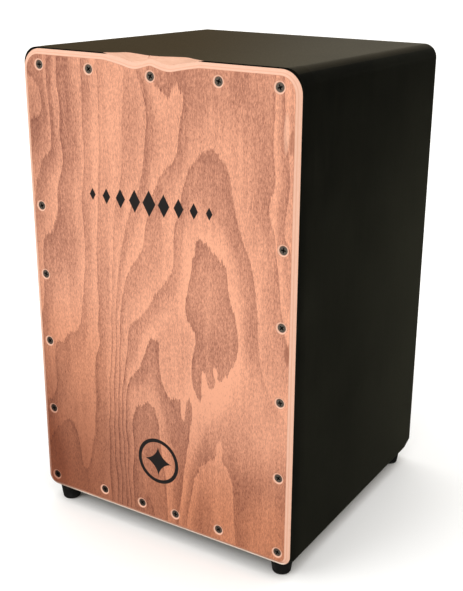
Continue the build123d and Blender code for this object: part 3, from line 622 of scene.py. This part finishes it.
def printed_lozenges(shade, x, z):
    """1 where the row of lozenges is printed, the largest in the middle."""
    ink = 0.0
    for step in range(-ROW_HALF_COUNT, ROW_HALF_COUNT + 1):
        size = 1 - LOZENGE_SHRINK * abs(step)
        dx = shade.away(x, ROW_MIDDLE[0] + step * ROW_PITCH)
        dz = shade.away(z, ROW_MIDDLE[1])
        half_width, half_height = (half * size for half in LOZENGE_HALF)
        reach = shade.add(shade.times(dx, 1 / half_width), shade.times(dz, 1 / half_height))
        ink = shade.larger(ink, shade.rise(reach, *LOZENGE_EDGE))
    return ink


def printed_star(shade, x, z):
    """1 where the four-pointed star and the ring round it are printed."""
    dx = shade.away(x, STAR_MIDDLE[0])
    dz = shade.away(z, STAR_MIDDLE[1])
    radius = shade.math("SQRT", shade.add(shade.times(dx, dx), shade.times(dz, dz)))
    ring = shade.rise(shade.away(radius, RING_RADIUS), *RING_EDGE)
    roots = shade.add(shade.math("POWER", dx, STAR_POWER), shade.math("POWER", dz, STAR_POWER))
    outside, inside = (STAR_REACH ** STAR_POWER * edge for edge in STAR_EDGE)
    return shade.larger(ring, shade.rise(roots, outside, inside))


def front_plate_wood():
    shade = Shade("stained_front_plate")
    point = shade.place()
    x, _, z = shade.split(point)
    x, z = shade.add(x, -FIGURE_ORIGIN[0]), shade.add(z, -FIGURE_ORIGIN[1])
    veneer = stained_veneer(shade, point, x, z)
    # Painted shade: the plate's lower left is darkened where it lies in less light
    veneer = shade.tint(painted_shade_depth(shade, x, z), veneer, PAINTED_SHADE_TINT)
    veneer = shade.tint(stain_warmth(shade, x, z), veneer, WARM_STAIN_TINT)
    ink = shade.larger(printed_lozenges(shade, x, z), printed_star(shade, x, z))
    front = shade.mix(ink, veneer, PRINT_BLACK)
    plain = shade.mix(shade.noise(point, 1.2, stretch=(1, 1, 30), detail=3), *PLATE_BACK)
    _, facing_y, _ = shade.facing()
    face = shade.rise(facing_y, *TO_FRONT)
    back = shade.rise(facing_y, *TO_BACK)
    colour = shade.mix(face, shade.mix(back, cut_plies(shade, point, x, z), plain), front)
    fibre = shade.noise(point, 0.5, stretch=(1, 1, 14), detail=3, roughness=0.6, seed=8.0)
    return shade.finish(
        Base_Color=colour,
        Roughness=shade.span(fibre, 0, 1, 0.42, 0.62),
        Normal=shade.bump(fibre, 0.12),
        Specular_IOR_Level=0.25,
    )


# ---------------------------------------------------------------- the painted box


def paint_and_painted_sheen(shade, point, facing_z):
    """Black paint, darkest at its front edge and paler towards the back, worn paler in places and by brush
    marks, with a painted sheen on what faces up, standing in for the light it mirrors.
    """
    x, y, z = shade.split(point)
    cloud = shade.noise(point, 70, detail=3, roughness=0.55, seed=11.0)
    brushed = shade.noise(point, 5, stretch=(1, 1, 12), detail=3, roughness=0.6, seed=14.0)
    edge = shade.times(shade.rise(y, *PAINT_EDGE), PAINT_EDGE_FADE)
    fade = shade.add(edge, shade.span(y, *PAINT_BACKWARDS, *PAINT_BACKWARDS_FADE))
    fade = shade.times(fade, shade.rise(z, *PAINT_HEIGHTS))
    marks = [shade.span(noise, 0, 1, -PAINT_MARKS, PAINT_MARKS) for noise in (cloud, brushed)]
    paint = shade.mix(shade.add(fade, shade.add(*marks)), *BLACK_PAINT)
    # Painted sheen: what faces up is painted paler, standing in for the light it mirrors
    painted_sheen = shade.times(shade.rise(facing_z, *UP), shade.span(cloud, 0.2, 0.8, *PAINTED_SHEEN_CLOUDS))
    return shade.mix(painted_sheen, paint, shade.mix(shade.rise(x, *PAINTED_SHEEN_ACROSS), PAINTED_SHEEN_LEFT, PAINTED_SHEEN_RIGHT))


def in_scoops(shade, point, facing_y):
    """1 on the hand scoops' hollow in the top board, but not on the board's upright front edge."""
    x, y, z = shade.split(point)
    below_top = shade.rise(z, *(BODY_TOP - depth for depth in SCOOPS_UPPER))
    above_floor = shade.rise(z, *(BODY_TOP - depth for depth in SCOOPS_LOWER))
    middle = shade.rise(shade.math("ABSOLUTE", x), *SCOOPS_HALF_WIDTH)
    front = shade.rise(y, *(PLATE_FACE + depth for depth in SCOOPS_BACK))
    place = shade.times(shade.times(below_top, above_floor), shade.times(middle, front))
    return shade.times(place, shade.rise(facing_y, *OFF_FRONT))


def on_inner_faces(shade, point, facing):
    """1 on the faces of the boards that look into the box."""
    x, y, z = shade.split(point)
    facing_x, facing_y, facing_z = facing
    outward = shade.add(shade.times(x, facing_x), shade.times(y, facing_y))
    outward = shade.add(outward, shade.times(shade.add(z, -BODY_MIDDLE), facing_z))
    return shade.rise(outward, *INNER_FACES)


def black_paint(bare_scoops=False):
    """Satin black paint, with bare wood on the inner faces and, if asked for, in the hand scoops."""
    shade = Shade("satin_black_paint")
    point = shade.place()
    facing = shade.facing()
    colour = paint_and_painted_sheen(shade, point, facing[2])
    if bare_scoops:
        grain = shade.noise(point, 1.0, stretch=(14, 3, 1), detail=3, roughness=0.6, seed=13.0)
        colour = shade.mix(in_scoops(shade, point, facing[1]), colour, shade.mix(grain, *SCOOP_WOOD))
    inside = on_inner_faces(shade, point, facing)
    plank = shade.noise(point, 1.3, stretch=(10, 10, 10), detail=3, roughness=0.65, seed=15.0)
    colour = shade.mix(inside, colour, shade.mix(plank, *INNER_WOOD))
    speckle = shade.noise(point, 1.6, detail=2, seed=12.0)
    rougher_inside = shade.mix(inside, (1, 1, 1, 1), (2, 2, 2, 1))
    return shade.finish(
        Base_Color=colour,
        Roughness=shade.times(shade.span(speckle, 0.2, 0.8, 0.27, 0.36), rougher_inside),
        Normal=shade.bump(speckle, 0.03),
        Specular_IOR_Level=0.12,
    )


# ---------------------------------------------------------------- bare wood, rubber and metal


def bare_birch(along):
    """Planed birch with its grain along x, y or z."""
    shade = Shade("bare_birch_" + along)
    point = shade.place()
    stretch = {"x": (18, 1, 1), "y": (1, 18, 1), "z": (1, 1, 18)}[along]
    ring = shade.noise(point, 5, stretch=stretch, detail=3, seed=21.0)
    fibre = shade.noise(point, 0.7, stretch=stretch, detail=3, roughness=0.6, seed=22.0)
    colour = shade.mix(shade.times(fibre, 0.4), shade.mix(ring, *BIRCH), BIRCH_FIBRE)
    return shade.finish(
        Base_Color=colour, Roughness=shade.span(fibre, 0, 1, 0.55, 0.75), Normal=shade.bump(fibre, 0.15)
    )


def rubber():
    """Dull black rubber, scuffed paler in places."""
    shade = Shade("black_rubber")
    point = shade.place()
    grit = shade.noise(point, 0.7, detail=3, roughness=0.6, seed=31.0)
    scuff = shade.noise(point, 7, detail=3, roughness=0.6, seed=32.0)
    return shade.finish(
        Base_Color=shade.mix(shade.rise(scuff, 0.45, 0.75), *RUBBER),
        Roughness=shade.span(scuff, 0.2, 0.8, 0.62, 0.85),
        Normal=shade.bump(grit, 0.12),
    )


def tapa_screw_steel():
    """Blackened steel, worn brownish on the heads' flats, darkened towards the plate's lower left as
    painted shade, and painted black down in their recesses as painted shade.
    """
    shade = Shade("worn_black_screw_steel")
    point = shade.place()
    x, y, z = shade.split(point)
    _, facing_y, _ = shade.facing()
    wear = shade.noise(point, 3, detail=3, roughness=0.6, seed=43.0)
    scratches = shade.noise(point, 0.5, detail=3, roughness=0.6, seed=44.0)
    # Painted shade: heads towards the plate's lower left are darker, like the plate
    flat = shade.mix(painted_shade_depth(shade, x, z), shade.mix(wear, *SCREW_FLAT), SCREW_PAINTED_SHADE)
    # Painted shade: the recess and its slopes are painted black where they lie in shadow
    recess_shade = shade.rise(y, *(SCREW_FACE + depth for depth in SCREW_RECESS_SHADE_DEPTHS))
    recess_shade = shade.larger(recess_shade, shade.rise(facing_y, *SCREW_SLOPE))
    return shade.finish(
        Base_Color=shade.mix(recess_shade, flat, SCREW_RECESS_SHADE),
        Metallic=0.25,
        Roughness=shade.span(scratches, 0.2, 0.8, 0.4, 0.6),
        Normal=shade.bump(scratches, 0.02),
        Specular_IOR_Level=0.3,
    )


def metal(name, dark, light, shine, grain=0.5, stretch=(1, 1, 1)):
    """A metal finish between two colours, with fine marks and cloudy wear."""
    shade = Shade(name)
    point = shade.place()
    marks = shade.noise(point, grain, stretch=stretch, detail=3, roughness=0.6, seed=41.0)
    wear = shade.noise(point, 6, detail=3, roughness=0.55, seed=42.0)
    return shade.finish(
        Base_Color=shade.mix(wear, dark, light),
        Metallic=1.0,
        Roughness=shade.span(marks, 0.2, 0.8, *shine),
        Normal=shade.bump(marks, 0.02),
    )


def wound_wire():
    """Steel wire wound round a core, its turns stepping up the string."""
    shade = Shade("wound_string_steel")
    point = shade.place()
    _, _, z = shade.split(point)
    turn = shade.math("SINE", shade.times(z, 2 * math.pi / WINDING_PITCH))
    wear = shade.noise(point, 9, detail=2, seed=51.0)
    return shade.finish(
        Base_Color=shade.mix(wear, *WINDING),
        Metallic=1.0,
        Roughness=shade.span(turn, -1, 1, 0.42, 0.24),
        Normal=shade.bump(shade.times(turn, 0.5), 0.1),
    )


# ---------------------------------------------------------------- putting materials on


def put_on(material, *names):
    for name in names:
        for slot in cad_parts[name].material_slots:
            slot.material = material


def dress_box():
    paint = black_paint()
    put_on(front_plate_wood(), "tapa")
    put_on(black_paint(bare_scoops=True), "top_panel")
    put_on(paint, "bottom_panel", "left_side_panel", "right_side_panel", "back_panel")


def dress_battens():
    """Each batten gets the birch whose grain runs along it."""
    woods = {axis: bare_birch(axis) for axis in "xyz"}
    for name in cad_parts:
        if "batten" in name:
            low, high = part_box(name)
            sizes = high - low
            longest = max(range(3), key=lambda i: sizes[i])
            put_on(woods["xyz"[longest]], name)


def dress_fittings():
    feet = [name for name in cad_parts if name.startswith(("foot_front_", "foot_rear_"))]
    put_on(rubber(), *feet)
    black_steel = metal("black_oxide_steel", rgb(70, 62, 56), rgb(122, 112, 104), (0.36, 0.6))
    zinc = metal("zinc_plated_steel", rgb(150, 152, 158), rgb(204, 205, 208), (0.25, 0.45))
    bright = metal(
        "polished_steel", rgb(176, 177, 180), rgb(222, 222, 224), (0.14, 0.3), stretch=(30, 1, 1)
    )
    alloy = metal("cast_alloy", rgb(150, 150, 152), rgb(186, 186, 188), (0.4, 0.62), grain=0.8)
    brass = metal("brass", rgb(176, 134, 66), rgb(216, 176, 98), (0.2, 0.4))
    put_on(tapa_screw_steel(), "tapa_screws")
    put_on(black_steel, "back_panel_screws")
    put_on(zinc, "foot_washers", "foot_screws", "string_anchor_screws")
    put_on(zinc, "tuner_bracket_left", "tuner_bracket_right", "tuner_bracket_screws")
    put_on(bright, "string_saddle", "tuner_screw_left", "tuner_screw_right")
    put_on(alloy, "tuner_carriage_left", "tuner_carriage_right", "tuner_bush_left", "tuner_bush_right")
    put_on(brass, "string_ball_ends_left", "string_ball_ends_right")


# ---------------------------------------------------------------- snare strings


def cut_across(mesh, low, high):
    """Cuts a mesh into level slices."""
    work = bmesh.new()
    work.from_mesh(mesh)
    height = low + STRING_STEP
    while height < high:
        geometry = work.verts[:] + work.edges[:] + work.faces[:]
        bmesh.ops.bisect_plane(work, geom=geometry, plane_co=(0, 0, height), plane_no=(0, 0, 1))
        height += STRING_STEP
    work.to_mesh(mesh)
    work.free()


def stretch_strings():
    """Each string becomes a wound wire: a sliced copy of its part's mesh, with the part itself hidden."""
    wire = wound_wire()
    for number, side in ((1, "left"), (2, "left"), (3, "right"), (4, "right")):
        node = "snare_string_%d" % number
        low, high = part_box(node)
        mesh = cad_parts[node].data.copy()
        cut_across(mesh, low.z, high.z)
        mesh.materials.clear()
        mesh.materials.append(wire)
        string = bpy.data.objects.new("wound_string_%d" % number, mesh)
        bpy.context.scene.collection.objects.link(string)
        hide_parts(node)
        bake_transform(string)


# ---------------------------------------------------------------- floor, light and camera


def floor():
    """A wide pale floor that shiny surfaces don't reflect."""
    shade = Shade("pale_floor")
    cloud = shade.noise(shade.place(), 400, detail=2, seed=61.0)
    material = shade.finish(Base_Color=shade.mix(cloud, *FLOOR), Roughness=0.9, Specular_IOR_Level=0.0)
    mesh = bpy.data.meshes.new("floor")
    corners = [(x * FLOOR_HALF, y * FLOOR_HALF, 0) for x, y in ((-1, -1), (1, -1), (1, 1), (-1, 1))]
    mesh.from_pydata(corners, [], [(0, 1, 2, 3)])
    mesh.materials.append(material)
    plane = bpy.data.objects.new("floor", mesh)
    bpy.context.scene.collection.objects.link(plane)
    plane.visible_glossy = False


def studio_world():
    """White where the camera sees past the floor. The object is lit by a soft glow, brightest overhead, and
    mirrors a darker room."""
    world = bpy.data.worlds.new("studio")
    bpy.context.scene.world = world
    shade = Shade("studio", world)
    way_x, _, way_z = shade.split(shade.node("TexCoord", {}))
    height = shade.span(way_z, -1, 1, 0, 1)
    mirrored = shade.ramp(height, REFLECTED_GLOW)
    mirrored = shade.tint(shade.rise(way_x, *REFLECTED_LEFT), mirrored, REFLECTED_LEFT_TINT)
    over_right = shade.times(shade.rise(height, *DARK_ABOVE), shade.rise(way_x, *DARK_RIGHT_OF))
    mirrored = shade.mix(over_right, mirrored, DARK_ROOM)
    path = shade.node("LightPath", {}).node.outputs
    colour = shade.mix(path["Is Glossy Ray"], shade.ramp(height, STUDIO_GLOW), mirrored)
    glow = shade.node("Background", {"Color": colour, "Strength": STUDIO_STRENGTH})
    white = shade.node("Background", {"Color": (1, 1, 1, 1), "Strength": SEEN_STRENGTH})
    seen = shade.node("MixShader", {0: path["Is Camera Ray"], 1: glow, 2: white})
    shade.node("OutputWorld", {"Surface": seen})


def key_light():
    low, high = CAD_BOX
    data = bpy.data.lights.new("key", "AREA")
    data.shape = "RECTANGLE"
    data.size = KEY_SIZE
    data.size_y = KEY_SIZE
    data.energy = KEY_POWER
    lamp = bpy.data.objects.new("key", data)
    bpy.context.scene.collection.objects.link(lamp)
    lamp.location = KEY_PLACE
    towards = (low + high) / 2 - Vector(KEY_PLACE)
    lamp.rotation_euler = towards.to_track_quat("-Z", "Y").to_euler()


def set_camera():
    data = bpy.data.cameras.new("camera")
    data.lens = CAMERA_LENS
    data.sensor_width = CAMERA_SENSOR
    data.shift_x, data.shift_y = CAMERA_SHIFT
    camera = bpy.data.objects.new("camera", data)
    bpy.context.scene.collection.objects.link(camera)
    turn = Matrix.Rotation(math.radians(CAMERA_TURN), 4, "Z")
    tilt = Matrix.Rotation(math.radians(90 - CAMERA_TILT), 4, "X")
    roll = Matrix.Rotation(math.radians(CAMERA_ROLL), 4, "Z")
    camera.matrix_world = Matrix.Translation(CAMERA_PLACE) @ turn @ tilt @ roll
    bpy.context.scene.camera = camera


dress_box()
dress_battens()
dress_fittings()
stretch_strings()
floor()
studio_world()
key_light()
set_camera()
bpy.context.scene.view_settings.view_transform = "Standard"
